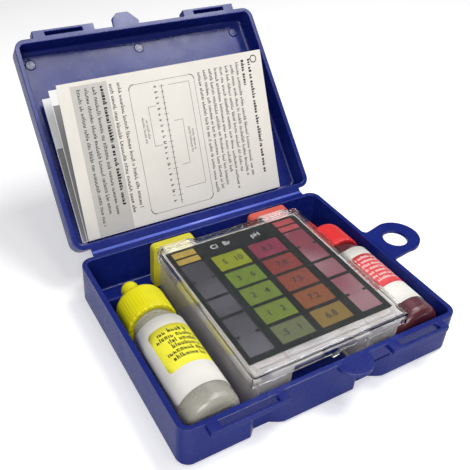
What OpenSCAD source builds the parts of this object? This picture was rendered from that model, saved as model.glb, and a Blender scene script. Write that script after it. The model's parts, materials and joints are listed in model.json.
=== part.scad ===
// Pocket water test kit: hinged case, comparator block, two reagent bottles
// and folded leaflets. Millimetres. The origin is the middle of the case's
// underside, +X runs along the hinge, +Y to the hinge, +Z up.

/* [Case] */

// Width of the case along the hinge
case_w = 141.4; // [110:0.2:170]
// Depth of the case from the front wall to the rear wall
case_d = 111; // [90:1:140]
// Height of the base from the table to its rim
base_h = 22.3; // [18:0.1:40]
// Depth of the lid from its rim to the outside of its panel
lid_h = 13; // [11:0.1:30]
// Thickness of the case's walls
wall_t = 2.5; // [1.2:0.1:3]
// Thickness of the base's floor and of the lid's panel
floor_t = 1.6; // [1:0.1:3]
// Radius of the case's upright corners
corner_r = 5.6; // [4:0.1:12]

/* [Hinge] */

// Angle between the base and the open lid, as it stands at rest
lid_open = 133.5; // [90:0.5:179]
// Width of each leaf of the moulded hinge
leaf_w = 2.5; // [1.5:0.1:5]
// Thickness of each leaf
leaf_t = 0.9; // [0.5:0.1:1.6]
// Length of the hinge strip between the rounded corners
hinge_l = 126; // [60:1:150]

/* [Latches and tabs] */

// Ends of the left latch ledge on the base
ledge_left = [-61, -25.5]; // [-66:0.5:-8]
// Ends of the right latch ledge on the base
ledge_right = [28, 60.2]; // [8:0.1:66]
// How far the base's latch ledges stand out from the front wall
ledge_out = 4.7; // [3:0.1:8]
// Radius of the hole in the hang tab
hang_hole_r = 6.4; // [2:0.1:8]
// Radius of the hang tab's rounded end
hang_r = 12; // [8:0.1:14]
// Thickness of the hang tab
hang_t = 1.6; // [1.2:0.1:4]

/* [Comparator] */

// Width of the comparator's cover
cover_w = 80.5; // [50:0.5:90]
// Length of the comparator's cover
cover_l = 87.5; // [60:0.5:95]
// Width of each sample chamber, walls included
chamber_w = 16.5; // [10:0.5:22]
// Distance from the comparator's middle to the middle of each chamber
chamber_x = 28.25; // [15:0.25:32]
// Thickness of the clear plastic walls
clear_t = 1.5; // [1:0.1:2.5]

/* [Reagent bottles] */

// Outer radius of each bottle's body
bottle_r = 12.5; // [9:0.1:12.5]
// Length of each bottle's straight body
body_l = 51.5; // [30:0.1:60]
// Radius of each screw cap
cap_r = 12; // [10.5:0.1:12.5]
// Length of each screw cap without its nipple
cap_l = 17.5; // [8:0.5:24]
// Height of the liquid's level above the bottle's axis
fill_z = 6; // [-8:0.5:10]

/* [Leaflets] */

// Width of a folded leaflet
leaflet_w = 117.5; // [60:0.5:130]
// Height of a folded leaflet
leaflet_h = 79.8; // [40:0.1:100]
// Thickness of a folded leaflet
leaflet_t = 0.4; // [0.2:0.05:1]

/* [Node to show] */

// Which sub-part to build

/* [Hidden] */

gap = 0.02;          // between faces that rest on each other
eps = 0.01;          // how far a cut runs past a face
front_y = -case_d / 2;
rear_y = case_d / 2;
crease_y = rear_y + leaf_w;
in_x = case_w / 2 - wall_t;

// Recesses between the front wall's tubs, as [left, right] of their backs
recesses = [[-36, -28.5], [17, 24.5]];
recess_flare = [3.5, 6.5];
recess_d = 3.5;
recess_h = 14.6;
recess_wall = 1.5;
tub_round = 2.4;

// The base's latch ledges
ledge_z = 2.6;
slot_end = [5.2, 4];
slot_w = 3;

// Middle of the hang tab's round end, and of its hole
hang_end = [84.7, 1];
hang_hole = [82.6, 0];

// The lid's latch ledges, as [left, right], and the slots in them
lid_ledges = [[-60, -26.5], [27, 59.5]];
lid_ledge_out = 3.7;
lid_ledge_z = 5.5;
lid_slot_w = 2.1;
lid_slot_z = 4.2;
lid_slot_end = 6.6;
lid_front = leaf_w + case_d + 1;

tab_t = 1.8;

// The comparator stands on the floor, a little right of the middle
comp_x = 2.2;
cover_x = 1.95;
cover_front = -51.8;
cover_rear = cover_front + cover_l;
cover_low = 25.4;
cover_top = 31.7;
plate_z = 29.5;
plate_t = 1.6;
skirt_t = 1.5;
deck_top = 28.9;
cell_low = floor_t + 0.05;
cell_front = -50;
cell_rear = 40.5;

stopper_w = 23;
stopper_z = [3.7, 28.4];
stopper_t = 4.4;
plug_l = 19;
plug_play = 0.08;

label_l = 41;
label_t = 0.15;
heel_r = 4;
bottle_z = floor_t + bottle_r + label_t + gap;
left_x = -53.6;
right_x = 52.64;
bottle_front = -51.2;
shoulder_y = bottle_front + body_l;
neck_y = shoulder_y + 6;
bottle_t = 0.9;
neck_r = 9.4;
cap_y = neck_y + 0.7;
cap_t = 1.4;
nipple_r = 4.4;
nipple_l = 12.5;
plug_r = neck_r - bottle_t - 0.05;

blue = [0.13, 0.19, 0.60];
clear = [0.86, 0.87, 0.90, 0.45];
paper = [0.90, 0.89, 0.86];

// ---- shared shapes ----

// A rectangle with rounded corners, centred
module round_rect(w, d, r) {
    offset(r = r, $fn = 64)
        square([w - 2 * r, d - 2 * r], center = true);
}

module slab(w, d, z, t, r) {
    translate([0, 0, z])
        linear_extrude(t)
            round_rect(w, d, r);
}

// A closed block with rounded upright corners and a rounded lower edge
module soft_block(w, d, h, r, e) {
    hull() {
        slab(w - 2 * e, d - 2 * e, 0, eps, r - e / 2);
        slab(w - 0.6 * e, d - 0.6 * e, 0.3 * e, eps, r - 0.1 * e);
        slab(w, d, e, h - e, r);
    }
}

// Extrudes a [y, z] outline along X from x0 to x1
module along_x(x0, x1) {
    translate([x0, 0, 0])
        rotate([90, 0, 90])
            linear_extrude(x1 - x0)
                children();
}

// Places a shape drawn flat, with the hinge crease on its X axis, on the lid
module on_lid() {
    translate([0, crease_y, base_h])
        rotate([180 - lid_open, 0, 0])
            children();
}

// Turns a shape drawn about Z so that its Z runs along +Y
module along_y(x, y, z) {
    translate([x, y, z])
        rotate([-90, 0, 0])
            children();
}

// ---- case ----

// Plan of a recess between two tubs, grown by g, with eased outer edges
module recess_plan(x, g) {
    offset(r = g, $fn = 32)
        offset(r = -tub_round, $fn = 32)
            offset(delta = tub_round) {
                polygon([[x[0] - recess_flare[0], front_y - 1],
                         [x[0] - recess_flare[0], front_y],
                         [x[0], front_y + recess_d],
                         [x[1], front_y + recess_d],
                         [x[1] + recess_flare[1], front_y],
                         [x[1] + recess_flare[1], front_y - 1]]);
                translate([x[0] - 20, front_y - 10])
                    square([x[1] - x[0] + 40, 10]);
            }
}

module base_cavity() {
    difference() {
        translate([0, 0, floor_t])
            soft_block(case_w - 2 * wall_t, case_d - 2 * wall_t, base_h,
                       corner_r - wall_t, 1);
        for (x = recesses)
            translate([0, 0, -1])
                linear_extrude(recess_h + recess_wall + 1)
                    recess_plan(x, recess_wall);
    }
}

module base_ledge(x) {
    along_x(x[0], x[1])
        polygon([[front_y + 0.1, base_h],
                 [front_y - ledge_out, base_h],
                 [front_y - ledge_out, base_h - ledge_z],
                 [front_y - 0.6, base_h - ledge_z],
                 [front_y + 0.1, base_h - ledge_z - 0.7]]);
}

module base_ledge_slot(x) {
    translate([x[0] + slot_end[0], front_y - 0.4 - slot_w, 0])
        cube([x[1] - x[0] - slot_end[0] - slot_end[1], slot_w, base_h + 1]);
}

// Flat tab with a round end, a little skewed, that widens towards the wall
module hang_tab_plan() {
    root_x = case_w / 2 + gap;
    intersection() {
        offset(r = -2, $fn = 48)
            offset(delta = 2) {
                translate(hang_end)
                    circle(hang_r, $fn = 96);
                polygon([[root_x, -12.6], hang_end - [1.7, hang_r - 0.1],
                         hang_end + [-1.7, hang_r - 0.1], [root_x, 10.1]]);
                translate([root_x - 20, -30])
                    square([20, 60]);
            }
        translate([root_x, -30])
            square([40, 60]);
    }
}

module hang_tab() {
    color(blue)
        translate([0, 0, base_h - hang_t])
            difference() {
                linear_extrude(hang_t)
                    hang_tab_plan();
                translate([hang_hole[0], hang_hole[1], -1])
                    cylinder(r = hang_hole_r, h = hang_t + 2, $fn = 96);
            }
}

module base_thumb_tab() {
    translate([9.4, front_y, base_h - tab_t])
        linear_extrude(tab_t)
            intersection() {
                circle(8.6, $fn = 64);
                translate([-12, -12])
                    square([24, 12.5]);
            }
}

module case_base() {
    color(blue)
        difference() {
            union() {
                difference() {
                    soft_block(case_w, case_d, base_h, corner_r, 1.6);
                    base_cavity();
                    for (x = recesses)
                        translate([0, 0, -1])
                            linear_extrude(recess_h + 1)
                                recess_plan(x, 0);
                }
                for (x = [ledge_left, ledge_right])
                    base_ledge(x);
                base_thumb_tab();
            }
            for (x = [ledge_left, ledge_right])
                base_ledge_slot(x);
        }
}

// Short rib on the left wall that keeps the bottle's nipple off it
module bay_rib() {
    low = floor_t + 1 + gap;
    color(blue)
        translate([-in_x + gap, 26.8, low])
            cube([left_x - nipple_r - 0.6 + in_x, 1.4, 18 - low]);
}

// Leaf of the moulded hinge on the base's side, up to the crease
module living_hinge() {
    color(blue)
        along_x(-hinge_l / 2, hinge_l / 2)
            polygon([[rear_y + gap, base_h],
                     [crease_y - gap, base_h],
                     [crease_y - 0.4, base_h - leaf_t / 2],
                     [crease_y - 1.2, base_h - leaf_t],
                     [rear_y + gap, base_h - leaf_t]]);
}

// The lid's own leaf, drawn flat beside the crease
module lid_leaf() {
    along_x(-hinge_l / 2, hinge_l / 2)
        polygon([[gap, 0],
                 [leaf_w + 0.5, 0],
                 [leaf_w + 0.5, -leaf_t],
                 [1.2, -leaf_t],
                 [0.4, -leaf_t / 2]]);
}

module lid_ledge(x) {
    difference() {
        along_x(x[0], x[1])
            polygon([[lid_front - 0.5, 0],
                     [lid_front + lid_ledge_out, 0],
                     [lid_front + lid_ledge_out, -lid_ledge_z],
                     [lid_front - 0.5, -lid_ledge_z - 3]]);
        translate([x[0] + lid_slot_end, lid_front + 0.4, -lid_slot_z])
            cube([x[1] - x[0] - 2 * lid_slot_end, lid_slot_w, lid_slot_z + 1]);
    }
}

module lid_thumb_tab() {
    translate([0, 0, -tab_t])
        linear_extrude(tab_t)
            offset(r = 1.5, $fn = 32)
                offset(delta = -1.5)
                    polygon([[-16, lid_front - 1], [-15.5, lid_front + 4.6],
                             [-12, lid_front + 7.5], [-5.5, lid_front + 7.5],
                             [-0.6, lid_front + 2], [-0.6, lid_front - 1]]);
}

module case_lid() {
    d = lid_front - leaf_w;
    color(blue)
        on_lid() {
            difference() {
                translate([0, leaf_w + d / 2, -lid_h])
                    soft_block(case_w, d, lid_h, corner_r, 3);
                translate([0, leaf_w + d / 2, floor_t - lid_h])
                    soft_block(case_w - 2 * wall_t, d - 2 * wall_t, lid_h,
                               corner_r - wall_t, 2);
            }
            lid_leaf();
            lid_thumb_tab();
            for (x = lid_ledges)
                lid_ledge(x);
            for (x = [-62.6, -0.9, 60.8])
                translate([x, 104.5, floor_t - lid_h - 0.2])
                    cylinder(r = 2.6, h = 0.5, $fn = 40);
        }
}

// ---- comparator ----

// Square tube, closed at the front and open at the rear for its stopper
module sample_chamber(x) {
    w = chamber_w;
    difference() {
        translate([x - w / 2, cell_front, cell_low])
            cube([w, cell_rear - cell_front, deck_top - cell_low]);
        translate([x - w / 2 + clear_t, cell_front + clear_t, cell_low + clear_t])
            cube([w - 2 * clear_t, cell_rear - cell_front,
                  deck_top - cell_low - 2 * clear_t]);
    }
}

module comparator_cell() {
    deck_w = cover_w - 2 * skirt_t - 0.4;
    color(clear) {
        for (s = [-1, 1])
            sample_chamber(comp_x + s * chamber_x);
        difference() {
            translate([cover_x - deck_w / 2, cell_front, deck_top - clear_t])
                cube([deck_w, cover_rear - skirt_t - 0.2 - cell_front, clear_t]);
            for (s = [-1, 1])
                translate([comp_x + s * chamber_x - chamber_w / 2 + clear_t,
                           cell_front + clear_t, deck_top - clear_t - 1])
                    cube([chamber_w - 2 * clear_t, cell_rear, 1]);
        }
    }
}

// Clear lid of the comparator, with a raised rim and a snap lug in front
module comparator_cover() {
    mid = (cover_front + cover_rear) / 2;
    color(clear)
        difference() {
            union() {
                translate([cover_x, mid, 0])
                    slab(cover_w, cover_l, cover_low, cover_top - cover_low, 1.4);
                translate([comp_x - 1.8, cover_front - 0.7, cover_low - 0.9])
                    cube([3.6, 1.4, 1.8]);
            }
            // hollow under the plate
            translate([cover_x, mid, 0])
                slab(cover_w - 2 * skirt_t, cover_l - 2 * skirt_t,
                     cover_low - 2, plate_z - cover_low + 2, 0.4);
            // sunk panel inside the raised rim
            translate([cover_x, mid, 0])
                slab(cover_w - 3.2, cover_l - 3.2, plate_z + plate_t, 2, 0.8);
            // room for the chambers where they pass under the rear edge
            for (s = [-1, 1])
                translate([comp_x + s * chamber_x - chamber_w / 2 - 0.1,
                           cover_rear - 5, cover_low - 1])
                    cube([chamber_w + 0.2, 10, deck_top + 0.05 - cover_low + 1]);
        }
}

// Printed film between the cell's deck and the cover
module colour_chart() {
    color([0.16, 0.18, 0.18])
        translate([-35.2, -44, deck_top + gap])
            cube([74.3, 76.5, 0.5]);
}

module stopper(x, tint) {
    zc = (stopper_z[0] + stopper_z[1]) / 2;
    zh = deck_top - cell_low - 2 * clear_t - 2 * plug_play;
    pw = chamber_w - 2 * clear_t - 2 * plug_play;
    color(tint) {
        along_y(x, cell_rear + gap, zc)
            linear_extrude(stopper_t)
                round_rect(stopper_w, stopper_z[1] - stopper_z[0], 2.2);
        translate([x - pw / 2, cell_rear + 0.2 - plug_l,
                   cell_low + clear_t + plug_play])
            difference() {
                cube([pw, plug_l, zh]);
                translate([1.6, -1, 1.6])
                    cube([pw - 3.2, plug_l - 1, zh - 3.2]);
            }
    }
}

module stopper_yellow() {
    stopper(comp_x - chamber_x, [0.93, 0.87, 0.16]);
}

module stopper_red() {
    stopper(comp_x + chamber_x, [0.91, 0.45, 0.40]);
}

// ---- bottles, drawn about Z with the base at z = 0 ----

function bottle_outline(t) = concat(
    [[0, t]],
    [for (a = [0:15:90]) [bottle_r - heel_r + (heel_r - t) * sin(a),
                          heel_r - (heel_r - t) * cos(a)]],
    [[bottle_r - t, body_l - 0.6], [bottle_r - 0.7 - t, body_l + 1],
     [neck_r + 1.2 - t, body_l + 4.2], [neck_r - t, body_l + 5.2]]
);

module bottle(x) {
    neck_top = neck_y - bottle_front + 12;
    color([0.90, 0.90, 0.86, 0.6])
        along_y(x, bottle_front, bottle_z)
            rotate_extrude($fn = 72)
                difference() {
                    polygon(concat(bottle_outline(0),
                                   [[neck_r, neck_top], [0, neck_top]]));
                    polygon(concat(bottle_outline(bottle_t),
                                   [[neck_r - bottle_t, neck_top + 1],
                                    [0, neck_top + 1]]));
                }
}

module liquid(x, tint) {
    color(tint)
        intersection() {
            along_y(x, bottle_front, bottle_z)
                rotate_extrude($fn = 64)
                    polygon(concat(bottle_outline(bottle_t + 0.05),
                                   [[0, body_l + 5.2]]));
            translate([x - bottle_r, bottle_front, 0])
                cube([2 * bottle_r, body_l + 8, bottle_z + fill_z]);
        }
}

// Plug pressed into the neck, with the nozzle that gives single drops
module dropper(x) {
    along_y(x, neck_y + 1, bottle_z)
        color([0.93, 0.93, 0.90])
            rotate_extrude($fn = 48)
                polygon([[plug_r - 1.1, 0], [plug_r, 0], [plug_r, 11.1],
                         [neck_r - 0.3, 11.1], [neck_r - 0.3, 12.2],
                         [2.4, 12.2], [1.6, 22], [0.6, 22],
                         [1.2, 10.8], [plug_r - 1.1, 10.8]]);
}

module label(x) {
    color(paper)
        along_y(x, shoulder_y - label_l - 0.6, bottle_z)
            difference() {
                cylinder(r = bottle_r + label_t, h = label_l, $fn = 96);
                translate([0, 0, -1])
                    cylinder(r = bottle_r + 0.03, h = label_l + 2, $fn = 96);
            }
}

module cap(x, tint) {
    color(tint)
        along_y(x, cap_y, bottle_z)
            rotate_extrude($fn = 72)
                polygon([[neck_r + 0.08, 0], [cap_r, 0], [cap_r, cap_l - 3],
                         [cap_r - 0.9, cap_l - 1], [cap_r - 2.9, cap_l],
                         [nipple_r + 1.2, cap_l + 0.5],
                         [nipple_r, cap_l + 1.8],
                         [nipple_r, cap_l + nipple_l - 3.6],
                         [nipple_r - 0.7, cap_l + nipple_l - 1.8],
                         [nipple_r - 1.9, cap_l + nipple_l - 0.6],
                         [0, cap_l + nipple_l],
                         [0, cap_l + nipple_l - 1.6],
                         [nipple_r - cap_t, cap_l + nipple_l - 2.6],
                         [nipple_r - cap_t + 0.2, cap_l - 0.8],
                         [neck_r + 0.08, cap_l - 1.4]]);
}

module bottle_left() {
    bottle(left_x);
}

module liquid_left() {
    liquid(left_x, [0.62, 0.60, 0.54, 0.8]);
}

module dropper_left() {
    dropper(left_x);
}

module label_left() {
    label(left_x);
}

module cap_left() {
    cap(left_x, [0.91, 0.86, 0.06]);
}

module bottle_right() {
    bottle(right_x);
}

module liquid_right() {
    liquid(right_x, [0.29, 0.06, 0.13, 0.9]);
}

module dropper_right() {
    dropper(right_x);
}

module label_right() {
    label(right_x);
}

module cap_right() {
    cap(right_x, [0.88, 0.23, 0.23]);
}

// ---- leaflets ----

// Folded sheet that stands in the lid on its lower edge, leaning out by tilt
module leaflet(x, level, tilt, w, h) {
    color(paper)
        on_lid()
            translate([x, leaf_w + wall_t + 2, -level])
                rotate([tilt, 0, 0])
                    cube([w, h, leaflet_t]);
}

module leaflet_front() {
    leaflet(-60.4, 10.3, 19.4, leaflet_w, leaflet_h);
}

module leaflet_middle() {
    leaflet(-61.2, 10.8, 9.6, leaflet_w, leaflet_h - 1);
}

module leaflet_rear() {
    leaflet(-63.4, 11.3, 3.6, leaflet_w, leaflet_h - 3);
}

case_base();
hang_tab();
bay_rib();
living_hinge();
case_lid();
comparator_cell();
comparator_cover();
colour_chart();
stopper_yellow();
stopper_red();
bottle_left();
liquid_left();
dropper_left();
label_left();
cap_left();
bottle_right();
liquid_right();
dropper_right();
label_right();
cap_right();
leaflet_front();
leaflet_middle();
leaflet_rear();
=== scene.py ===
"""Looks of the pocket water test kit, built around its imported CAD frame.

Metres, in the frame's own axes: +X along the hinge, +Y to the hinge, +Z up. Sizes are in millimetres
where they go through mm(), or where the comment above them says so.
"""

import json
import math
import random

import bmesh
import bpy
from mathutils import Matrix, Vector


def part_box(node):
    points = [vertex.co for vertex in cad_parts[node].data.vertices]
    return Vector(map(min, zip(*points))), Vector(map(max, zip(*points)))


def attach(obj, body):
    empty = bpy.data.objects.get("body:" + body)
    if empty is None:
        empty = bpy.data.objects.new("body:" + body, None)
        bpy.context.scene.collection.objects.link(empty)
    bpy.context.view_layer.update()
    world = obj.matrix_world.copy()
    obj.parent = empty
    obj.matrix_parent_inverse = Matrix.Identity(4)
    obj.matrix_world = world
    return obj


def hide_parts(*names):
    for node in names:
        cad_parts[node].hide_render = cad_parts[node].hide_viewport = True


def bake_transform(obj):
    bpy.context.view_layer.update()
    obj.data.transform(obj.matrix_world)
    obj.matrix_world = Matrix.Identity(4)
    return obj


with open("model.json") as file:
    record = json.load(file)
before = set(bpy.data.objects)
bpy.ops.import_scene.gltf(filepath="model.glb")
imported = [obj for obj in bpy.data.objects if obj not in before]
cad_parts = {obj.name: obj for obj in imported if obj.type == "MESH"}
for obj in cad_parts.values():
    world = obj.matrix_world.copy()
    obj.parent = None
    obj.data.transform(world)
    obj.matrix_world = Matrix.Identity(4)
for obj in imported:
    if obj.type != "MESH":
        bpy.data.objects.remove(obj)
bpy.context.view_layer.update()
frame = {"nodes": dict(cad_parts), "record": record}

SEED = 11


def mm(value):
    """A size in millimetres as metres."""
    return value / 1000


# ---- places taken from the CAD frame ----

nodes = frame["nodes"]
behaviour = frame["record"]["behaviour"]
body_of_node = {node: body for body, names in behaviour["bodies"].items() for node in names}
joints = {joint["name"]: joint for joint in behaviour["joints"]}

hinge = Vector(joints["lid_hinge"]["pos_m"])
# Slope of the open lid: its rim faces down on the base at the joint's lower limit
lid_lean = math.pi + math.radians(joints["lid_hinge"]["range_deg"][0])
lid_place = Matrix.Translation(hinge) @ Matrix.Rotation(lid_lean, 4, "X")
hinge_low, hinge_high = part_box("living_hinge")
film_low, film_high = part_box("colour_chart")
cover_low, cover_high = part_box("comparator_cover")

# Depth of the ink that is printed on paper
INK_DEPTH = mm(0.02)

# ---- small helpers for scene objects and meshes ----


def add_object(name, data):
    obj = bpy.data.objects.new(name, data)
    bpy.context.scene.collection.objects.link(obj)
    return obj


def paint(obj, material):
    obj.data.materials.clear()
    obj.data.materials.append(material)


def finish_piece(name, shape, material, body, smooth=False):
    """Turns a bmesh into a piece that rides on a body."""
    bmesh.ops.recalc_face_normals(shape, faces=shape.faces)
    mesh = bpy.data.meshes.new(name)
    shape.to_mesh(mesh)
    shape.free()
    piece = add_object(name, mesh)
    if smooth:
        mesh.shade_smooth()
    paint(piece, material)
    if body:
        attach(piece, body)
    return piece


def add_box(shape, low, high, place=None):
    """Adds a closed box to a bmesh, its corners moved through place."""
    corners = []
    for z in (low[2], high[2]):
        for x, y in ((low[0], low[1]), (high[0], low[1]), (high[0], high[1]), (low[0], high[1])):
            point = Vector((x, y, z))
            corners.append(shape.verts.new(place(point) if place else point))
    for face in ((3, 2, 1, 0), (4, 5, 6, 7), (0, 1, 5, 4), (1, 2, 6, 5), (2, 3, 7, 6), (3, 0, 4, 7)):
        shape.faces.new([corners[i] for i in face])


def add_band(shape, ring, following):
    """Adds the faces between two closed rings of vertices."""
    for i in range(len(ring)):
        j = (i + 1) % len(ring)
        shape.faces.new((ring[i], ring[j], following[j], following[i]))


def add_prism(shape, under, over):
    """Adds a closed flat prism between two rings."""
    shape.faces.new(under[::-1])
    shape.faces.new(over)
    add_band(shape, under, over)


def add_strip(shape, near, far):
    """Adds a closed bent strip between its two end rings, which go along one face and back on the other."""
    add_band(shape, near, far)
    count = len(near)
    for i in range(count // 2 - 1):
        for ring in (near, far):
            shape.faces.new((ring[i], ring[i + 1], ring[count - 2 - i], ring[count - 1 - i]))


def soften(piece, width, segments=2, angle=32, clamp=True):
    """Rounds a piece's hard edges and keeps its flat faces flat."""
    bevel = piece.modifiers.new("soft edges", "BEVEL")
    bevel.width = width
    bevel.segments = segments
    bevel.limit_method = "ANGLE"
    bevel.angle_limit = math.radians(angle)
    bevel.miter_outer = "MITER_ARC"
    bevel.use_clamp_overlap = clamp
    normals = piece.modifiers.new("even shading", "WEIGHTED_NORMAL")
    normals.keep_sharp = True
    normals.weight = 100


def refined(node, material, width, segments=2, flat_faces=True):
    """Stands a soft-edged copy in for a CAD node, its triangles first joined into flat faces if asked."""
    shape = bmesh.new()
    shape.from_mesh(nodes[node].data)
    bmesh.ops.remove_doubles(shape, verts=shape.verts, dist=2e-6)
    if flat_faces:
        limit = math.radians(1)
        bmesh.ops.dissolve_limit(shape, angle_limit=limit, verts=shape.verts, edges=shape.edges)
    piece = finish_piece(node + "_soft", shape, material, body_of_node[node], smooth=True)
    soften(piece, width, segments, clamp=flat_faces)
    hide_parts(node)
    return piece


# ---- materials ----


class Finish:
    """A node material on a Principled surface, with grain worked out from object coordinates."""

    def __init__(self, name, colour, roughness, **inputs):
        self.material = bpy.data.materials.new(name)
        self.material.use_nodes = True
        self.tree = self.material.node_tree
        self.surface = self.tree.nodes["Principled BSDF"]
        self.output = self.tree.nodes["Material Output"]
        self.colour = (*colour, 1)
        self.surface.inputs["Base Color"].default_value = self.colour
        self.surface.inputs["Roughness"].default_value = roughness
        self.roughness = roughness
        for key, value in inputs.items():
            self.surface.inputs[key.replace("_", " ")].default_value = value
        self.place = self.tree.nodes.new("ShaderNodeTexCoord").outputs["Object"]
        self.normal = None

    def link(self, source, target):
        self.tree.links.new(source, target)

    def noise(self, size, detail=2.0, stretch=None):
        """Noise with features about size metres across."""
        node = self.tree.nodes.new("ShaderNodeTexNoise")
        node.inputs["Scale"].default_value = 1 / size
        node.inputs["Detail"].default_value = detail
        source = self.place
        if stretch:
            mapping = self.tree.nodes.new("ShaderNodeMapping")
            mapping.inputs["Scale"].default_value = stretch
            self.link(source, mapping.inputs["Vector"])
            source = mapping.outputs["Vector"]
        self.link(source, node.inputs["Vector"])
        return node.outputs["Fac"]

    def spread(self, source, low, high, start=0.3, end=0.7):
        """Maps a texture's middle range onto low to high."""
        node = self.tree.nodes.new("ShaderNodeMapRange")
        for key, value in (("From Min", start), ("From Max", end), ("To Min", low), ("To Max", high)):
            node.inputs[key].default_value = value
        self.link(source, node.inputs["Value"])
        return node.outputs["Result"]

    def mottle(self, other, size, amount=1.0, detail=3.0, stretch=None):
        """Varies the colour towards another one in soft patches."""
        mix = self.tree.nodes.new("ShaderNodeMix")
        mix.data_type = "RGBA"
        mix.inputs["B"].default_value = (*other, 1)
        source = self.surface.inputs["Base Color"]
        if source.is_linked:
            self.link(source.links[0].from_socket, mix.inputs["A"])
        else:
            mix.inputs["A"].default_value = self.colour
        self.link(self.spread(self.noise(size, detail, stretch), 0, amount), mix.inputs["Factor"])
        self.link(mix.outputs["Result"], source)
        return self

    def uneven(self, size, amount, detail=2.0):
        """Varies the roughness in patches."""
        source = self.spread(self.noise(size, detail), self.roughness - amount, self.roughness + amount)
        self.link(source, self.surface.inputs["Roughness"])
        return self

    def grain(self, size, depth, detail=2.0, stretch=None):
        """Adds relief with features about size across and depth deep, both in metres."""
        bump = self.tree.nodes.new("ShaderNodeBump")
        bump.inputs["Strength"].default_value = 1
        bump.inputs["Distance"].default_value = depth
        self.link(self.noise(size, detail, stretch), bump.inputs["Height"])
        if self.normal:
            self.link(self.normal, bump.inputs["Normal"])
        self.normal = bump.outputs["Normal"]
        self.link(self.normal, self.surface.inputs["Normal"])
        return self

    def dim_rims(self, straight, grazing):
        """Weakens the mirror-like sheen that a finely grained face would lose at a flat angle."""
        weight = self.tree.nodes.new("ShaderNodeLayerWeight")
        weight.inputs["Blend"].default_value = 0.5
        level = self.spread(weight.outputs["Facing"], straight, grazing, 0.12, 0.5)
        self.link(level, self.surface.inputs["Specular IOR Level"])
        return self

    def lets_light_through(self):
        """Casts no shadow, so that lamps reach what lies behind the clear wall."""
        path = self.tree.nodes.new("ShaderNodeLightPath")
        passing = self.tree.nodes.new("ShaderNodeBsdfTransparent")
        mix = self.tree.nodes.new("ShaderNodeMixShader")
        self.link(path.outputs["Is Shadow Ray"], mix.inputs["Fac"])
        self.link(self.surface.outputs["BSDF"], mix.inputs[1])
        self.link(passing.outputs["BSDF"], mix.inputs[2])
        self.link(mix.outputs["Shader"], self.output.inputs["Surface"])
        return self


def case_plastic():
    finish = Finish("case_plastic", (0.006, 0.014, 0.150), 0.27, IOR=1.5)
    finish.mottle((0.010, 0.021, 0.185), mm(30), 0.7)
    finish.mottle((0.006, 0.012, 0.130), mm(6), 0.35)
    finish.dim_rims(0.5, 0.07)
    return finish.uneven(mm(9), 0.04).grain(mm(0.6), mm(0.005)).grain(mm(14), mm(0.10)).material


def hinge_plastic():
    # Lighter blue for the stress whitening at the fold, lightened further as a painted highlight of the
    # light on the bent web.
    finish = Finish("creased_and_highlit_plastic", (0.06, 0.10, 0.50), 0.30, IOR=1.5)
    finish.mottle((0.16, 0.21, 0.68), mm(2), 0.8, stretch=(0.12, 1, 1))
    return finish.uneven(mm(3), 0.08).grain(mm(0.8), mm(0.02), stretch=(0.1, 1, 1)).material


def scuffed_and_glint_plastic():
    finish = Finish("scuffed_and_glint_plastic", (0.03, 0.04, 0.17), 0.30, IOR=1.5)
    # Whitish mottling stands for scuffs on the marks and is also a painted highlight of the glint on them.
    finish.mottle((0.46, 0.45, 0.50), mm(1.1), 0.9)
    return finish.uneven(mm(1), 0.1).grain(mm(0.7), mm(0.12)).material


def clear_plastic():
    finish = Finish("clear_plastic", (0.95, 0.95, 0.96), 0.04, IOR=1.40, Transmission_Weight=1)
    finish.uneven(mm(5), 0.02).grain(mm(7), mm(0.02))
    return finish.lets_light_through().material


def hazy_plastic():
    """Clear plastic of the sample chambers, a little clouded."""
    finish = Finish("hazy_plastic", (0.60, 0.57, 0.54), 0.09, IOR=1.45, Transmission_Weight=0.74)
    finish.mottle((0.80, 0.79, 0.78), mm(9), 0.8)
    finish.uneven(mm(5), 0.03).grain(mm(7), mm(0.03))
    return finish.lets_light_through().material


def rubber(name, colour, other):
    finish = Finish(name, colour, 0.42, IOR=1.45, Subsurface_Weight=0.08, Subsurface_Scale=mm(1.5))
    finish.mottle(other, mm(8), 0.6)
    return finish.uneven(mm(4), 0.07).grain(mm(0.5), mm(0.012)).grain(mm(5), mm(0.05)).material


def squeeze_plastic(name, colour, other):
    """Milky polyethylene of a bottle, tinted by what is in it."""
    finish = Finish(name, colour, 0.30, IOR=1.5, Transmission_Weight=0.70)
    finish.mottle(other, mm(14), 0.7)
    finish.uneven(mm(6), 0.06).grain(mm(0.9), mm(0.010)).grain(mm(9), mm(0.08))
    return finish.lets_light_through().material


def nozzle_plastic():
    finish = Finish("dropper_plastic", (0.86, 0.86, 0.82), 0.35, IOR=1.5, Subsurface_Weight=0.1)
    finish.mottle((0.93, 0.93, 0.90), mm(5), 0.6)
    return finish.uneven(mm(3), 0.06).grain(mm(0.6), mm(0.01)).material


def reagent(name, colour, other, clearness):
    finish = Finish(name, colour, 0.08, IOR=1.34, Transmission_Weight=clearness)
    finish.mottle(other, mm(16), 0.8)
    return finish.uneven(mm(8), 0.03).grain(mm(12), mm(0.05)).material


def chart_film():
    finish = Finish("chart_film", (0.004, 0.005, 0.005), 0.45, Specular_IOR_Level=0.15)
    finish.mottle((0.010, 0.012, 0.012), mm(12), 0.8)
    return finish.uneven(mm(4), 0.06).grain(mm(0.3), mm(0.006)).material


def printed(name, colour, shade=0.82, roughness=0.5):
    """Ink, a little uneven."""
    finish = Finish(name, colour, roughness, Specular_IOR_Level=0.2)
    finish.mottle(tuple(shade * part for part in colour), mm(3), 0.8, 4)
    return finish.uneven(mm(1.5), 0.06).grain(mm(0.25), mm(0.004)).material


def window_film_and_glare(name, colour, other):
    """Tinted clear film over a sample chamber, with paler patches painted in for the glare on it and the
    light that comes through it.
    """
    finish = Finish(name, colour, 0.45, Specular_IOR_Level=0.2)
    # Paler mottling: painted glare and painted light coming through the window.
    finish.mottle(other, mm(26), 0.8, 0)
    return finish.uneven(mm(4), 0.06).grain(mm(0.3), mm(0.004)).material


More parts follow.
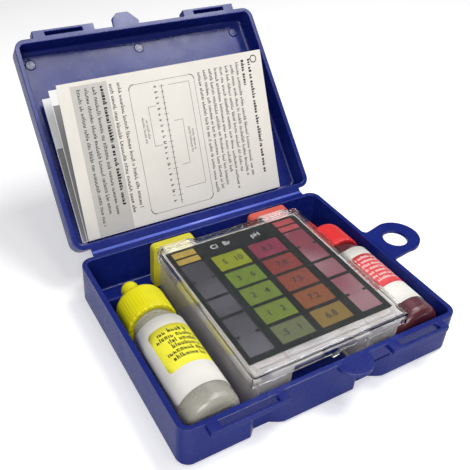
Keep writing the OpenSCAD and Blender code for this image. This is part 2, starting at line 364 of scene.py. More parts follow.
def paper(name, colour, other, depth=0.012):
    finish = Finish(name, colour, 0.78, IOR=1.4, Sheen_Weight=0.1)
    finish.mottle(other, mm(22), 0.8)
    finish.mottle(tuple(0.93 * part for part in colour), mm(0.7), 0.5, stretch=(1, 3, 3))
    finish.uneven(mm(2), 0.06).grain(mm(0.35), mm(depth), stretch=(1, 2, 2))
    return finish.grain(mm(34), mm(1.1), 1).material


def floor_finish():
    finish = Finish("pale_floor", (0.92, 0.92, 0.92), 0.7, Emission_Strength=0.30)
    finish.surface.inputs["Emission Color"].default_value = (1, 1, 1, 1)
    finish.mottle((0.89, 0.89, 0.90), mm(200), 0.5)
    return finish.uneven(mm(60), 0.05).material


BLUE = case_plastic()
CREASE_WHITENING_AND_HIGHLIGHT = hinge_plastic()
SCUFFS_AND_GLINT = scuffed_and_glint_plastic()
CLEAR = clear_plastic()
HAZY = hazy_plastic()
FILM = chart_film()
YELLOW_RUBBER = rubber("yellow_rubber", (0.52, 0.47, 0.020), (0.60, 0.55, 0.04))
RED_RUBBER = rubber("red_rubber", (0.52, 0.085, 0.065), (0.58, 0.12, 0.09))
YELLOW_CAP = rubber("yellow_plastic", (0.68, 0.62, 0.001), (0.76, 0.70, 0.004))
RED_CAP = rubber("red_plastic", (0.64, 0.020, 0.025), (0.70, 0.04, 0.035))
BOTTLE_PLASTIC = {
    "left": squeeze_plastic("pale_bottle", (0.50, 0.49, 0.44), (0.60, 0.59, 0.54)),
    "right": squeeze_plastic("red_bottle", (0.16, 0.035, 0.055), (0.24, 0.06, 0.08)),
}
NOZZLE = nozzle_plastic()
PALE_REAGENT = reagent("pale_reagent", (0.30, 0.28, 0.22), (0.38, 0.36, 0.29), 0.4)
RED_REAGENT = reagent("red_reagent", (0.085, 0.004, 0.016), (0.15, 0.008, 0.03), 0.3)
LABEL = paper("label_paper", (0.72, 0.70, 0.65), (0.79, 0.77, 0.72), 0.004)
FRONT_PAPER = paper("front_paper", (0.70, 0.67, 0.61), (0.78, 0.75, 0.70))
BACK_PAPER = paper("back_paper", (0.74, 0.74, 0.73), (0.82, 0.82, 0.81))
INK = printed("black_ink", (0.012, 0.012, 0.014), 1.6, 0.6)
GREY_INK = printed("grey_ink", (0.26, 0.26, 0.26), 0.9, 0.7)
TONE_INK = printed("tone_ink", (0.52, 0.50, 0.47), 0.94, 0.7)
LABEL_YELLOW = printed("label_yellow_ink", (0.86, 0.80, 0.05), 0.9)
LABEL_RED = printed("label_red_ink", (0.62, 0.06, 0.07), 1.2)
PALE_INK = printed("pale_ink", (0.36, 0.37, 0.38), 0.85)
WHITE_INK = printed("white_ink", (0.72, 0.68, 0.65), 0.9)

# ---- case ----

WEB_WIDTH = mm(1.8)
WEB_THICKNESS = mm(0.4)
WEB_PROUD = mm(0.02)
WEB_STEPS = 10

# Two of the lid's round ejector marks: their places along the hinge and out from it, their radius,
# and the height of their tops over the plane of the lid's rim, in millimetres
MARKS_X = (-62.6, -0.9)
MARK_OUT = 104.5
MARK_RADIUS = 2.3
MARK_TOP = -11.1
MARK_STEPS = 32


def crease_section():
    """Middle line of the hinge web at rest, as (place, turn) from the base to the lid."""
    stride = WEB_WIDTH / WEB_STEPS
    turns = []
    for i in range(WEB_STEPS + 1):
        part = i / WEB_STEPS
        turns.append(lid_lean * part * part * (3 - 2 * part))
    places = [Vector((hinge.y - WEB_WIDTH / 2, hinge.z))]
    for before, after in zip(turns, turns[1:]):
        turn = (before + after) / 2
        places.append(places[-1] + stride * Vector((math.cos(turn), math.sin(turn))))
    return list(zip(places, turns))


def web_ring(shape, x):
    """The web's outline at x: along its top and back along its underside."""
    over = []
    under = []
    for place, turn in crease_section():
        out = Vector((-math.sin(turn), math.cos(turn)))
        over.append(shape.verts.new((x, *(place + WEB_PROUD * out))))
        under.append(shape.verts.new((x, *(place - WEB_THICKNESS * out))))
    return over + under[::-1]


def hinge_web():
    """Thin strip across the crease, where the real hinge flexes, bent as it is at rest."""
    shape = bmesh.new()
    add_strip(shape, web_ring(shape, hinge_low.x), web_ring(shape, hinge_high.x))
    piece = finish_piece("hinge_web", shape, CREASE_WHITENING_AND_HIGHLIGHT, None, smooth=True)
    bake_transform(piece)


def hang_tab():
    """The hang tab's soft-edged copy, its root sunk into the wall so that no seam shows."""
    sunk = mm(0.6)
    piece = refined("hang_tab", BLUE, mm(0.3), 3)
    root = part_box("hang_tab")[0].x
    for vertex in piece.data.vertices:
        if vertex.co.x < root + mm(0.01):
            vertex.co.x -= sunk


def mark_ring(shape, x, height):
    """A circle round an ejector mark, height over the plane of the lid's rim, in millimetres."""
    ring = []
    for step in range(MARK_STEPS):
        turn = 2 * math.pi * step / MARK_STEPS
        across = x + MARK_RADIUS * math.sin(turn)
        out = MARK_OUT + MARK_RADIUS * math.cos(turn)
        ring.append(shape.verts.new(lid_place @ Vector((mm(across), mm(out), mm(height)))))
    return ring


def ejector_scuffs_and_glints():
    """Caps on the ejector marks, each a thin disc half sunk in its mark, mottled whitish for scuffs and for
    a painted highlight where light glints on them.
    """
    shape = bmesh.new()
    for x in MARKS_X:
        add_prism(shape, mark_ring(shape, x, MARK_TOP - 0.05), mark_ring(shape, x, MARK_TOP + 0.03))
    finish_piece("ejector_scuffs_and_glints", shape, SCUFFS_AND_GLINT, "lid")


def build_case():
    refined("case_base", BLUE, mm(0.35), 3, flat_faces=False)
    hang_tab()
    refined("case_lid", BLUE, mm(0.35), 3, flat_faces=False)
    refined("living_hinge", BLUE, mm(0.1))
    refined("bay_rib", BLUE, mm(0.2))
    hinge_web()
    ejector_scuffs_and_glints()


# ---- comparator ----

# Lines and columns of the chart, in millimetres: (front, rear) and (left, right)
ROWS = ((9.4, 20.5), (-3.4, 7.3), (-16.1, -5.2), (-28.6, -18.0), (-41.1, -30.7))
CHLORINE_COLUMN = (-17.1, -0.3)
ACID_COLUMN = (3.3, 20.0)
WINDOW_COLUMNS = {"left": (-33.0, -21.3), "right": (24.7, 36.0)}
STOPPER_STRIPS = ((26.7, 30.8), (21.8, 25.5))

# Notches in the sides of the double windows as (depth, width), and the dashes between them as (half
# length, width) with their places about the middle, in millimetres
NOTCH = (2.0, 1.5)
DASH = (0.55, 0.24)
DASH_STEPS = (-2, 0, 2)

# Type on the chart as (size, added boldness), and the titles as (text, x, y), in millimetres. The
# shares say how far across a patch its two numbers stand.
NUMBER_TYPE = (4.9, 0.07)
NUMBER_SHARES = (0.29, 0.72)
TITLE_TYPE = (4.3, 0.02)
TITLES = (("Cl", -11.4, 27.2), ("Br", -4.4, 27.2), ("pH", 11.7, 26.6))

# Colours from the rear row to the front one, with the numbers printed on each patch
CHLORINE_PATCHES = (
    ((0.115, 0.132, 0.003), ("5", "10")),
    ((0.066, 0.101, 0.010), ("3", "6")),
    ((0.063, 0.090, 0.011), ("2", "4")),
    ((0.068, 0.093, 0.011), ("1", "2")),
    ((0.058, 0.066, 0.030), (".5", "1")),
)
ACID_PATCHES = (
    ((0.104, 0.012, 0.027), ("8.2",)),
    ((0.104, 0.016, 0.013), ("7.8",)),
    ((0.104, 0.023, 0.012), ("7.5",)),
    ((0.107, 0.033, 0.009), ("7.2",)),
    ((0.098, 0.063, 0.012), ("6.8",)),
)
WINDOW_TINTS_AND_GLARE = {
    "left": window_film_and_glare("left_window_film_and_glare", (0.026, 0.025, 0.030), (0.055, 0.055, 0.064)),
    "right": window_film_and_glare("right_window_film_and_glare", (0.100, 0.020, 0.030), (0.190, 0.130, 0.145)),
}
STRIP_TINTS = {
    "left": printed("left_strip_film", (0.24, 0.17, 0.035), 0.7, 0.4),
    "right": printed("right_strip_film", (0.21, 0.035, 0.04), 0.75, 0.4),
}

# Heights of the prints: the patches stand on the film, and the numbers on the patches
patch_low = film_high.z - mm(0.01)
patch_top = film_high.z + mm(0.025)
print_low = patch_top - mm(0.005)
print_top = patch_top + mm(0.02)


def plate(name, outlines, material, low=patch_low, high=patch_top):
    """Thin printed plates on the film, from lists of (x, y) corners in millimetres."""
    shape = bmesh.new()
    for outline in outlines:
        under = [shape.verts.new((mm(x), mm(y), low)) for x, y in outline]
        over = [shape.verts.new((mm(x), mm(y), high)) for x, y in outline]
        add_prism(shape, under, over)
    finish_piece(name, shape, material, "comparator")


def rectangle(column, row):
    return [(column[0], row[0]), (column[1], row[0]), (column[1], row[1]), (column[0], row[1])]


def notched(column, front_row, rear_row):
    """Outline of a double window with a notch on each side at its middle."""
    left, right = column
    middle = (front_row[1] + rear_row[0]) / 2
    depth, width = NOTCH
    low = middle - width / 2
    high = middle + width / 2
    return [
        (left, front_row[0]), (right, front_row[0]), (right, low), (right - depth, low),
        (right - depth, high), (right, high), (right, rear_row[1]), (left, rear_row[1]),
        (left, high), (left + depth, high), (left + depth, low), (left, low),
    ]


def type_mesh(text, size, bold, thickness):
    """A word as a mesh, centred, size and bold in millimetres."""
    font = bpy.data.curves.new(text, "FONT")
    font.body = text
    font.size = mm(size)
    font.align_x = "CENTER"
    font.align_y = "CENTER"
    font.extrude = thickness / 2
    font.offset = mm(bold)
    font.resolution_u = 3
    holder = bpy.data.objects.new(text, font)
    mesh = bpy.data.meshes.new_from_object(holder)
    bpy.data.objects.remove(holder)
    bpy.data.curves.remove(font)
    return mesh


def lettering(name, words, material, style, low, high):
    """Flat type: words is a list of (text, x, y) and style is (size, bold), in millimetres."""
    shape = bmesh.new()
    for text, x, y in words:
        mesh = type_mesh(text, *style, high - low)
        mesh.transform(Matrix.Translation((mm(x), mm(y), (low + high) / 2)))
        shape.from_mesh(mesh)
        bpy.data.meshes.remove(mesh)
    finish_piece(name, shape, material, "comparator")


def patch_numbers():
    """Every number on the patches, as (text, x, y)."""
    words = []
    left, right = CHLORINE_COLUMN
    for row, (_, numbers) in zip(ROWS, CHLORINE_PATCHES):
        for number, share in zip(numbers, NUMBER_SHARES):
            words.append((number, left + share * (right - left), sum(row) / 2))
    for row, (_, numbers) in zip(ROWS, ACID_PATCHES):
        words.append((numbers[0], sum(ACID_COLUMN) / 2, sum(row) / 2))
    return words


def window_dashes():
    """Faint dashes across the middle of each double window."""
    half_length, width = DASH
    dashes = []
    for column in WINDOW_COLUMNS.values():
        for front_row, rear_row in ((ROWS[1], ROWS[0]), (ROWS[4], ROWS[3])):
            y = (front_row[1] + rear_row[0]) / 2
            for step in DASH_STEPS:
                x = sum(column) / 2 + step
                dashes.append(rectangle((x - half_length, x + half_length), (y - width / 2, y + width / 2)))
    plate("window_dashes", dashes, INK, print_low, print_top)


def colour_patches(title, column, patches):
    """One column of colour patches, each with an ink of its own."""
    for i, (row, (colour, _)) in enumerate(zip(ROWS, patches), 1):
        name = f"{title}_patch_{i}"
        plate(name, [rectangle(column, row)], printed(name + "_ink", colour, 0.86))


def sample_windows(side, column):
    """The tinted windows over one sample chamber, and the strips over its stopper."""
    outlines = [
        notched(column, ROWS[1], ROWS[0]),
        rectangle(column, ROWS[2]),
        notched(column, ROWS[4], ROWS[3]),
    ]
    plate(f"{side}_windows", outlines, WINDOW_TINTS_AND_GLARE[side])
    strips = [rectangle(column, strip) for strip in STOPPER_STRIPS]
    plate(f"{side}_strips", strips, STRIP_TINTS[side])


def build_chart():
    refined("colour_chart", FILM, mm(0.1))
    colour_patches("chlorine", CHLORINE_COLUMN, CHLORINE_PATCHES)
    colour_patches("acid", ACID_COLUMN, ACID_PATCHES)
    for side, column in WINDOW_COLUMNS.items():
        sample_windows(side, column)
    window_dashes()
    lettering("patch_numbers", patch_numbers(), INK, NUMBER_TYPE, print_low, print_top)
    lettering("chart_titles", TITLES, PALE_INK, TITLE_TYPE, patch_low, patch_top)


def cover_ridges():
    """Two moulded ridges under the cover's clear front margin."""
    inset = mm(6)
    front = cover_low.y + mm(2.3)
    pitch = mm(2.6)
    width = mm(0.6)
    shape = bmesh.new()
    for y in (front, front + pitch):
        low = (cover_low.x + inset, y, film_low.z + mm(0.02))
        high = (cover_high.x - inset, y + width, film_high.z + mm(0.05))
        add_box(shape, low, high)
    finish_piece("cover_ridges", shape, CLEAR, "comparator")


def build_comparator():
    refined("comparator_cell", HAZY, mm(0.12))
    refined("comparator_cover", CLEAR, mm(0.25), 3)
    build_chart()
    cover_ridges()
    refined("stopper_yellow", YELLOW_RUBBER, mm(0.7), 4)
    refined("stopper_red", RED_RUBBER, mm(0.7), 4)


# ---- bottles ----

# Steps round a cap, of which each rib takes four and each tooth eight, two of them its gap
CAP_STEPS = 192
RIB_PERIOD = 4
RIB_DEPTH = mm(0.16)
TOOTH_PERIOD = 8
TOOTH_GAP = 2
TOOTH_DEPTH = mm(0.55)

# Ends of the labels and of their coloured blocks, in degrees round the bottle from its top, and the
# blocks' ends along it
LABEL_SPAN = (-73, 205)
BLOCK_SPAN = (-46, 66)
BLOCK_ENDS = (mm(-29.5), mm(-6.5))
SHEET_ROWS = 4


def bottle_axis(side):
    """(x, z, radius) of the bottle, from the label that fits round it."""
    low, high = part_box("label_" + side)
    return (low.x + high.x) / 2, (low.z + high.z) / 2, (high.x - low.x) / 2


AXES = {side: bottle_axis(side) for side in ("left", "right")}


def around(side, angle, y, radius):
    """A point on a cylinder about the bottle's axis, angle in degrees from the top."""
    x, z, _ = AXES[side]
    turn = math.radians(angle)
    return Vector((x + radius * math.sin(turn), y, z + radius * math.cos(turn)))


def cap_profile(side):
    """Closed outline of the cap as (radius, y, rib share, tooth share)."""
    low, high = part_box("cap_" + side)
    outer = (high.x - low.x) / 2
    y0 = low.y
    tip = high.y
    shoulder = y0 + mm(17.5)
    nipple = mm(4.4)
    bore = mm(9.48)
    rib = outer - RIB_DEPTH
    points = [
        (bore, y0, 0, 0), (outer - mm(0.25), y0, 0, 1), (outer, y0 + mm(0.2), 0, 1),
        (outer, y0 + mm(0.9), 0, 1), (outer - mm(0.02), y0 + mm(1.25), 0, 0),
        (rib, y0 + mm(1.5), 0, 0), (rib, y0 + mm(1.9), 0, 0), (rib + mm(0.08), y0 + mm(2.2), 0.5, 0),
        (rib, y0 + mm(2.6), 1, 0), (rib, shoulder - mm(3.9), 1, 0), (rib, shoulder - mm(3.2), 0.3, 0),
        (outer - mm(0.5), shoulder - mm(2.0), 0, 0), (outer - mm(1.3), shoulder - mm(0.9), 0, 0),
        (outer - mm(2.6), shoulder - mm(0.2), 0, 0), (nipple + mm(2.2), shoulder + mm(0.2), 0, 0),
        (nipple + mm(0.9), shoulder + mm(0.7), 0, 0), (nipple + mm(0.2), shoulder + mm(1.5), 0, 0),
        (nipple, shoulder + mm(2.6), 0, 0),
    ]
    dome = mm(4.0)
    for step in range(8):
        turn = math.radians(90 * step / 8)
        points.append((nipple * math.cos(turn) ** 0.85, tip - dome + dome * math.sin(turn), 0, 0))
    points += [
        (mm(0.01), tip, 0, 0), (mm(0.01), tip - mm(1.6), 0, 0), (nipple - mm(1.4), tip - mm(3.4), 0, 0),
        (nipple - mm(1.2), shoulder - mm(0.8), 0, 0), (bore, shoulder - mm(1.4), 0, 0),
    ]
    return points


def build_cap(side, material):
    """Screw cap with fine ribs and a toothed lower edge, turned about the bottle's axis."""
    shape = bmesh.new()
    rings = []
    for radius, y, rib, tooth in cap_profile(side):
        ring = []
        for step in range(CAP_STEPS):
            wave = 0.5 - 0.5 * math.cos(2 * math.pi * step / RIB_PERIOD)
            cut = tooth * (step % TOOTH_PERIOD < TOOTH_GAP)
            r = radius + rib * wave * RIB_DEPTH - cut * TOOTH_DEPTH
            ring.append(shape.verts.new(around(side, 360 * step / CAP_STEPS, y, r)))
        rings.append(ring)
    for ring, following in zip(rings, rings[1:] + rings[:1]):
        add_band(shape, ring, following)
    piece = finish_piece(f"ribbed_cap_{side}", shape, material, "cap_" + side, smooth=True)
    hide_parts("cap_" + side)


def corner_inset(reach, corner):
    """How far a rounded corner cuts the edge back at a distance reach from the sheet's end."""
    if reach >= corner:
        return 0
    return corner - math.sqrt(corner * corner - (corner - reach) ** 2)


def sheet_grid(shape, side, span, ends, height, corner, columns):
    """Vertices of one face of a sheet round the bottle, in columns along its axis."""
    radius = AXES[side][2]
    length = math.radians(span[1] - span[0]) * radius
    grid = []
    for i in range(columns + 1):
        # closer columns near the ends follow the rounded corners
        share = 0.5 - 0.5 * math.cos(math.pi * i / columns)
        inset = corner_inset(min(share, 1 - share) * length, corner)
        low = ends[0] + inset
        high = ends[1] - inset
        angle = span[0] + share * (span[1] - span[0])
        column = []
        for j in range(SHEET_ROWS + 1):
            y = low + (high - low) * j / SHEET_ROWS
            column.append(shape.verts.new(around(side, angle, y, radius + height)))
        grid.append(column)
    return grid


def wrapped(name, side, span, ends, heights, material, corner, columns=72):
    """A sheet wrapped round the bottle between two angles, with rounded corners."""
    shape = bmesh.new()
    layers = [sheet_grid(shape, side, span, ends, height, corner, columns) for height in heights]
    under, over = layers
    for i in range(columns):
        for j in range(SHEET_ROWS):
            for grid in layers:
                shape.faces.new((grid[i][j], grid[i + 1][j], grid[i + 1][j + 1], grid[i][j + 1]))
    for i in range(columns):
        for j in (0, SHEET_ROWS):
            shape.faces.new((under[i][j], under[i + 1][j], over[i + 1][j], over[i][j]))
    for j in range(SHEET_ROWS):
        for i in (0, columns):
            shape.faces.new((under[i][j], under[i][j + 1], over[i][j + 1], over[i][j]))
    return finish_piece(name, shape, material, "bottle_" + side, smooth=True)


def glyphs(shape, rng, start, end, size, place, bold=1.0):
    """Greeked type: rows of small strokes, grouped like words, that spell nothing.

    place maps (along the line, across it, height) to a point, all in metres.
    """
    stroke = 0.13 * size * bold
    along = start
    while along < end:
        for _ in range(rng.randint(2, 8)):
            tall = rng.choice((0.62, 0.62, 0.62, 0.95)) * size
            wide = rng.choice((0.18, 0.42, 0.5, 0.5)) * size
            if along + wide > end:
                return
            add_box(shape, (along, 0, 0), (along + stroke, tall, 1), place)
            if wide > 0.3 * size:
                lift = rng.choice((0, 0.25, 0.5)) * size
                add_box(shape, (along, lift, 0), (along + wide, lift + stroke, 1), place)
                reach = rng.choice((0.4, 0.6)) * size
                add_box(shape, (along + wide - stroke, 0, 0), (along + wide, reach, 1), place)
            along += wide + 0.17 * size
        along += 0.38 * size


# Lines on the labels' blocks: (y in millimetres, first and last angle in degrees)
LABEL_LINES = {
    "left": ((-11.0, -28, 40), (-14.0, -36, 58), (-16.9, -16, 50), (-19.7, -14, 56),
             (-22.6, -30, 60), (-25.7, -24, 52)),
    "right": tuple((-9.6 - 2.7 * line, -42, 63) for line in range(7)),
}
LINE_SIZE = {"left": mm(2.5), "right": mm(1.9)}
LABEL_SEED = {"left": SEED + 4, "right": SEED + 5}


def around_label(side, y):
    """Maps a line of type that runs round the bottle at y onto its label."""
    radius = AXES[side][2]

    def place(point):
        angle = math.degrees(point.x / radius)
        return around(side, angle, y + point.y, radius + mm(0.008) + INK_DEPTH * point.z)

    return place


def label_print(side, material, ink):
    """A coloured block with greeked lines that run round the bottle."""
    wrapped(f"label_block_{side}", side, BLOCK_SPAN, BLOCK_ENDS, (-mm(0.02), mm(0.012)), material,
            mm(2.4), columns=48)
    rng = random.Random(LABEL_SEED[side])
    one_degree = AXES[side][2] * math.radians(1)
    shape = bmesh.new()
    for y, first, last in LABEL_LINES[side]:
        place = around_label(side, mm(y))
        glyphs(shape, rng, first * one_degree, last * one_degree, LINE_SIZE[side], place, bold=1.5)
    finish_piece(f"label_print_{side}", shape, ink, "bottle_" + side)


def build_bottle(side, reagent_material, block_material, ink, cap_material):
    paint(nodes["bottle_" + side], BOTTLE_PLASTIC[side])
    paint(nodes["liquid_" + side], reagent_material)
    paint(nodes["dropper_" + side], NOZZLE)
    low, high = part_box("label_" + side)
    label = wrapped(f"paper_label_{side}", side, LABEL_SPAN, (low.y, high.y), (-mm(0.12), 0), LABEL, mm(3))
    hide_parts("label_" + side)
    label_print(side, block_material, ink)
    build_cap(side, cap_material)


# ---- leaflets ----

# Thickness of the paper, heights of its three layers over the leaflet's back, and how much shorter the
# lowest layer is at each side
SHEET = mm(0.08)
LAYERS = (mm(0.36), mm(0.205), mm(0.05))
FACE = LAYERS[0] + SHEET / 2
SHORT = mm(0.5)
FOLD_STEPS = 6


def ink_height(share):
    """Height of a print over the paper for a share of its depth, a little sunk so that no gap shows."""
    return (share - 0.3) * INK_DEPTH


class Leaflet:
    """A leaflet's size, and its own plane: x to the right, y up the sheet and z out of it."""

    def __init__(self, name, lean_deg, height_mm):
        pivot = Vector(joints[f"leaflet_{name}_fold"]["pos_m"])
        low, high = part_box("leaflet_" + name)
        lean = lid_lean + math.radians(lean_deg)
        corner = Vector((low.x, pivot.y, pivot.z))
        self.name = name
        self.body = "leaflet_" + name
        self.width = high.x - low.x
        self.height = mm(height_mm)
        self.aspect = self.width / self.height
        self.place = Matrix.Translation(corner) @ Matrix.Rotation(lean, 4, "X")

    def point(self, u, v, proud):
        """A point on its face: u from the left and v from the top, as shares of the sheet."""
        return self.place @ Vector((u * self.width, (1 - v) * self.height, FACE + proud))

    def shares(self, point):
        """Maps (u, v, 0 or 1) to the underside or the top of a thin print."""
        return self.point(point.x, point.y, ink_height(point.z))

    def column(self, u):
        """Maps a line of type that runs down the sheet at u onto its face."""

        def place(point):
            return self.point(u + point.y / self.width, point.x / self.height, ink_height(point.z))

        return place


# How far each leaflet leans out of the lid, in degrees, and its height in millimetres
LEAFLETS = {
    "front": Leaflet("front", 19.4, 79.8),
    "middle": Leaflet("middle", 9.6, 78.8),
    "rear": Leaflet("rear", 3.6, 76.8),
}


def fold_arc(x, above, below, sweep):
    """Points round a fold, from the layer above to the one below, sweep 180 to the left, -180 right."""
    radius = (above - below) / 2
    middle = (above + below) / 2
    points = []
    for step in range(FOLD_STEPS + 1):
        turn = math.radians(90 + sweep * step / FOLD_STEPS)
        points.append(Vector((x + radius * math.cos(turn), middle + radius * math.sin(turn))))
    return points


def folded_line(width):
    """Middle line of a sheet folded in three, seen from its lower edge, as (x, z)."""
    top, middle, bottom = LAYERS
    left_fold = SHEET + (top - middle) / 2
    right_fold = width - SHORT - (middle - bottom) / 2
    line = [Vector((width, top))]
    line += fold_arc(left_fold, top, middle, 180)
    line += fold_arc(right_fold, middle, bottom, -180)
    line.append(Vector((SHORT, bottom)))
    return line


def thickened(line):
    """Closed outline of a sheet about its middle line: along one face and back on the other."""
    outer = []
    inner = []
    for i, point in enumerate(line):
        before = line[max(i - 1, 0)]
        after = line[min(i + 1, len(line) - 1)]
        along = (after - before).normalized()
        side = Vector((-along.y, along.x)) * SHEET / 2
        outer.append(point + side)
        inner.append(point - side)
    return outer + inner[::-1]


def folded_leaflet(leaflet, material):
    """A leaflet as one sheet in three layers, with its folds at the sides."""
    outline = thickened(folded_line(leaflet.width))
    shape = bmesh.new()
    lower = [shape.verts.new(leaflet.place @ Vector((p.x, 0, p.y))) for p in outline]
    upper = [shape.verts.new(leaflet.place @ Vector((p.x, leaflet.height, p.y))) for p in outline]
    add_strip(shape, lower, upper)
    piece = finish_piece(f"folded_leaflet_{leaflet.name}", shape, material, leaflet.body)
    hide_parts("leaflet_" + leaflet.name)


# Columns of type on the front leaflet: (u, first v, last v, size in mm, boldness)
COLUMNS = (
    (0.080, 0.05, 0.99, 2.2, 1.2), (0.115, 0.05, 0.97, 2.2, 1.2), (0.150, 0.05, 0.99, 2.2, 1.2),
    (0.185, 0.05, 0.93, 2.3, 1.9), (0.226, 0.05, 0.97, 2.2, 1.2), (0.262, 0.05, 0.99, 2.2, 1.2),
    (0.652, 0.08, 0.97, 2.1, 1.2), (0.681, 0.07, 0.95, 2.1, 1.2), (0.710, 0.07, 0.97, 2.1, 1.2),
    (0.739, 0.07, 0.90, 2.1, 1.2), (0.768, 0.07, 0.97, 2.1, 1.2), (0.797, 0.07, 0.94, 2.1, 1.2),
    (0.826, 0.07, 0.90, 2.1, 1.2), (0.855, 0.06, 0.95, 2.1, 1.2), (0.886, 0.05, 0.27, 2.3, 1.9),
    (0.922, 0.05, 0.97, 2.3, 1.9),
)
# Most that chance takes off a column's end, and the corners of the toned block behind the first ones
RAGGED = 0.12
TONE = ((0.055, 0.025), (0.218, 0.995))

# The framed drawing, in shares of the sheet: its frame's corners and their radius, the scale's line
# and its numbers across the sheet, the ticks down it, and the lengths of ticks and widths of lines
FRAME = ((0.31, 0.08), (0.630, 0.945))
FRAME_RADIUS = 0.035
SCALE_U = 0.465
NUMBERS_U = 0.428
TICKS = [0.12 + i * 0.037 for i in range(22)]
LONG_TICK = 0.024
SHORT_TICK = 0.014
LINE = 0.0016
SCALE_LINE = 0.0026
# Braces beside the scale: (u of their ends, u of their back, first v, last v)
BRACES = ((0.500, 0.602, 0.12, 0.82), (0.500, 0.540, 0.36, 0.66), (0.422, 0.385, 0.24, 0.50))
# Small captions inside the frame: (u, first v, last v)
CAPTIONS = ((0.560, 0.42, 0.60), (0.345, 0.30, 0.48), (0.362, 0.32, 0.46), (0.577, 0.44, 0.58))


def rule(shape, leaflet, start, end, wide=LINE):
    """A straight line down the sheet or across it, between two (u, v) places."""
    if start[1] == end[1]:
        far = (end[0], end[1] + wide * leaflet.aspect, 1)
    else:
        far = (end[0] + wide, end[1], 1)
    add_box(shape, (*start, 0), far, leaflet.shares)


def rounded_frame(shape, leaflet):
    """The drawing's frame: four lines, with a row of short dabs round each corner."""
    (u0, v0), (u1, v1) = FRAME
    r = FRAME_RADIUS
    across = r / leaflet.aspect
    for u in (u0, u1):
        rule(shape, leaflet, (u, v0 + r), (u, v1 - r))
    for v in (v0, v1):
        rule(shape, leaflet, (u0 + across, v), (u1 - across, v))
    for u, v, first in ((u0 + across, v0 + r, 180), (u1 - across, v0 + r, 270),
                        (u1 - across, v1 - r, 0), (u0 + across, v1 - r, 90)):
        for step in range(6):
            turn = math.radians(first + 7.5 + 15 * step)
            dab_u = u + across * math.cos(turn)
            dab_v = v + r * math.sin(turn)
            low = (dab_u - 0.0012, dab_v - 0.004, 0)
            high = (dab_u + 0.0028, dab_v + 0.004, 1)
            add_box(shape, low, high, leaflet.shares)


def scale_ticks(shape, leaflet, rng):
    """The scale's line, with a tick and a greeked number at each step."""
    rule(shape, leaflet, (SCALE_U, 0.11), (SCALE_U, 0.92), SCALE_LINE)
    for i, v in enumerate(TICKS):
        reach = (SHORT_TICK if i % 5 else LONG_TICK) / 2
        rule(shape, leaflet, (SCALE_U - reach, v), (SCALE_U + 0.002 + reach, v))
        begin = leaflet.height * (v - 0.008)
        glyphs(shape, rng, begin, begin + mm(1.6), mm(1.9), leaflet.column(NUMBERS_U), 1.4)


def scale_drawing(shape, leaflet, rng):
    """The framed drawing on the front leaflet: a long scale with ticks, numbers and braces."""
    rounded_frame(shape, leaflet)
    scale_ticks(shape, leaflet, rng)
    for near, far, v0, v1 in BRACES:
        rule(shape, leaflet, (far, v0), (far, v1))
        for v in (v0, v1):
            rule(shape, leaflet, (min(near, far), v), (max(near, far), v))
    for u, v0, v1 in CAPTIONS:
        glyphs(shape, rng, v0 * leaflet.height, v1 * leaflet.height, mm(1.5), leaflet.column(u), 1.0)


def circled_mark(shape, leaflet):
    """Small ring at the head of the front leaflet's title."""
    for step in range(20):
        turn = 2 * math.pi * step / 20
        u = 0.955 + 0.016 * math.cos(turn)
        v = 0.055 + 0.0235 * math.sin(turn)
        add_box(shape, (u - 0.0022, v - 0.004, 0), (u + 0.0022, v + 0.004, 1), leaflet.shares)


def front_print(leaflet):
    rng = random.Random(SEED)
    shape = bmesh.new()
    (u0, v0), (u1, v1) = TONE
    add_box(shape, (u0, v0, 0), (u1, v1, 0.6), leaflet.shares)
    finish_piece("front_tone", shape, TONE_INK, leaflet.body)
    shape = bmesh.new()
    for u, first, last, size, bold in COLUMNS:
        end = (last - rng.random() * RAGGED) * leaflet.height
        glyphs(shape, rng, first * leaflet.height, end, mm(size), leaflet.column(u), bold)
    scale_drawing(shape, leaflet, rng)
    circled_mark(shape, leaflet)
    finish_piece("front_print", shape, INK, leaflet.body)


def back_print(leaflet, low, high):
    """A grey printed area and a few lines on a leaflet that shows only at its edges."""
    rng = random.Random(SEED + 3)
    shape = bmesh.new()
    add_box(shape, (*low, 0), (*high, 1), leaflet.shares)
    finish_piece(leaflet.name + "_tone", shape, GREY_INK, leaflet.body)
    shape = bmesh.new()
    begin = 0.12 * leaflet.height
    end = 0.95 * leaflet.height
    for u in (0.035, 0.07, 0.105):
        glyphs(shape, rng, begin, end, mm(1.7), leaflet.column(u), 1.8)
    finish_piece(leaflet.name + "_print", shape, INK, leaflet.body)


def build_leaflets():
    folded_leaflet(LEAFLETS["front"], FRONT_PAPER)
    folded_leaflet(LEAFLETS["middle"], BACK_PAPER)
    folded_leaflet(LEAFLETS["rear"], BACK_PAPER)
    front_print(LEAFLETS["front"])
    back_print(LEAFLETS["middle"], (0.004, 0.10), (0.13, 0.995))
    back_print(LEAFLETS["rear"], (0.004, 0.35), (0.10, 0.995))


# ---- camera, floor and lights ----

# The camera's place in metres, its turn in degrees, and its lens and sensor in millimetres
CAMERA_PLACE = (-0.14214, -0.19010, 0.23123)
CAMERA_TURN = (56.60, -2.19, -29.06)
CAMERA_SHIFT = (0.0490, -0.0992)
LENS = 50.689
SENSOR = 36

FLOOR_HALF = 1.5
WORLD_STRENGTH = 0.13

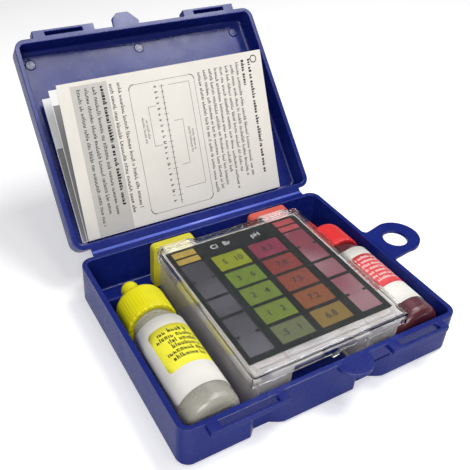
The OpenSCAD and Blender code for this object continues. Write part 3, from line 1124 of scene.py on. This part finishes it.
# Each lamp's name, place, target, size and energy
LAMPS = (
    ("key", (0.29, 0.00, 0.71), (0, 0.02, 0.02), (0.34, 0.30), 3.8),
    ("fill", (-0.38, -0.60, 0.50), (0, 0.05, 0.04), (0.45, 0.35), 3.7),
    ("left_box", (-0.75, 0.05, 0.55), (0, 0, 0.03), (0.5, 0.4), 1.0),
    ("sheen", (0.024, -0.174, 0.710), (-0.06, 0.12, 0.08), (0.13, 0.13), 0.6),
    ("right_box", (0.80, 0.10, 0.50), (0, 0, 0.03), (0.4, 0.4), 1.0),
)


def build_camera():
    data = bpy.data.cameras.new("camera")
    data.lens = LENS
    data.sensor_width = SENSOR
    data.shift_x, data.shift_y = CAMERA_SHIFT
    data.clip_start = 0.01
    camera = add_object("camera", data)
    camera.location = CAMERA_PLACE
    camera.rotation_euler = [math.radians(angle) for angle in CAMERA_TURN]
    bpy.context.scene.camera = camera


def build_floor():
    shape = bmesh.new()
    add_box(shape, (-FLOOR_HALF, -FLOOR_HALF, -mm(10)), (FLOOR_HALF, FLOOR_HALF, -mm(0.02)))
    floor = finish_piece("floor", shape, floor_finish(), None)


def add_light(name, place, target, size, energy):
    data = bpy.data.lights.new(name, "AREA")
    data.shape = "RECTANGLE"
    data.size, data.size_y = size
    data.energy = energy
    light = add_object(name, data)
    light.location = place
    light.rotation_euler = (Vector(target) - Vector(place)).to_track_quat("-Z", "Y").to_euler()


def build_lights():
    for lamp in LAMPS:
        add_light(*lamp)
    world = bpy.data.worlds.new("studio")
    world.use_nodes = True
    background = world.node_tree.nodes["Background"]
    background.inputs["Color"].default_value = (1, 1, 1, 1)
    background.inputs["Strength"].default_value = WORLD_STRENGTH
    bpy.context.scene.world = world
    bpy.context.scene.view_settings.view_transform = "Standard"


build_camera()
build_floor()
build_lights()
build_case()
build_comparator()
build_bottle("left", PALE_REAGENT, LABEL_YELLOW, INK, YELLOW_CAP)
build_bottle("right", RED_REAGENT, LABEL_RED, WHITE_INK, RED_CAP)
build_leaflets()
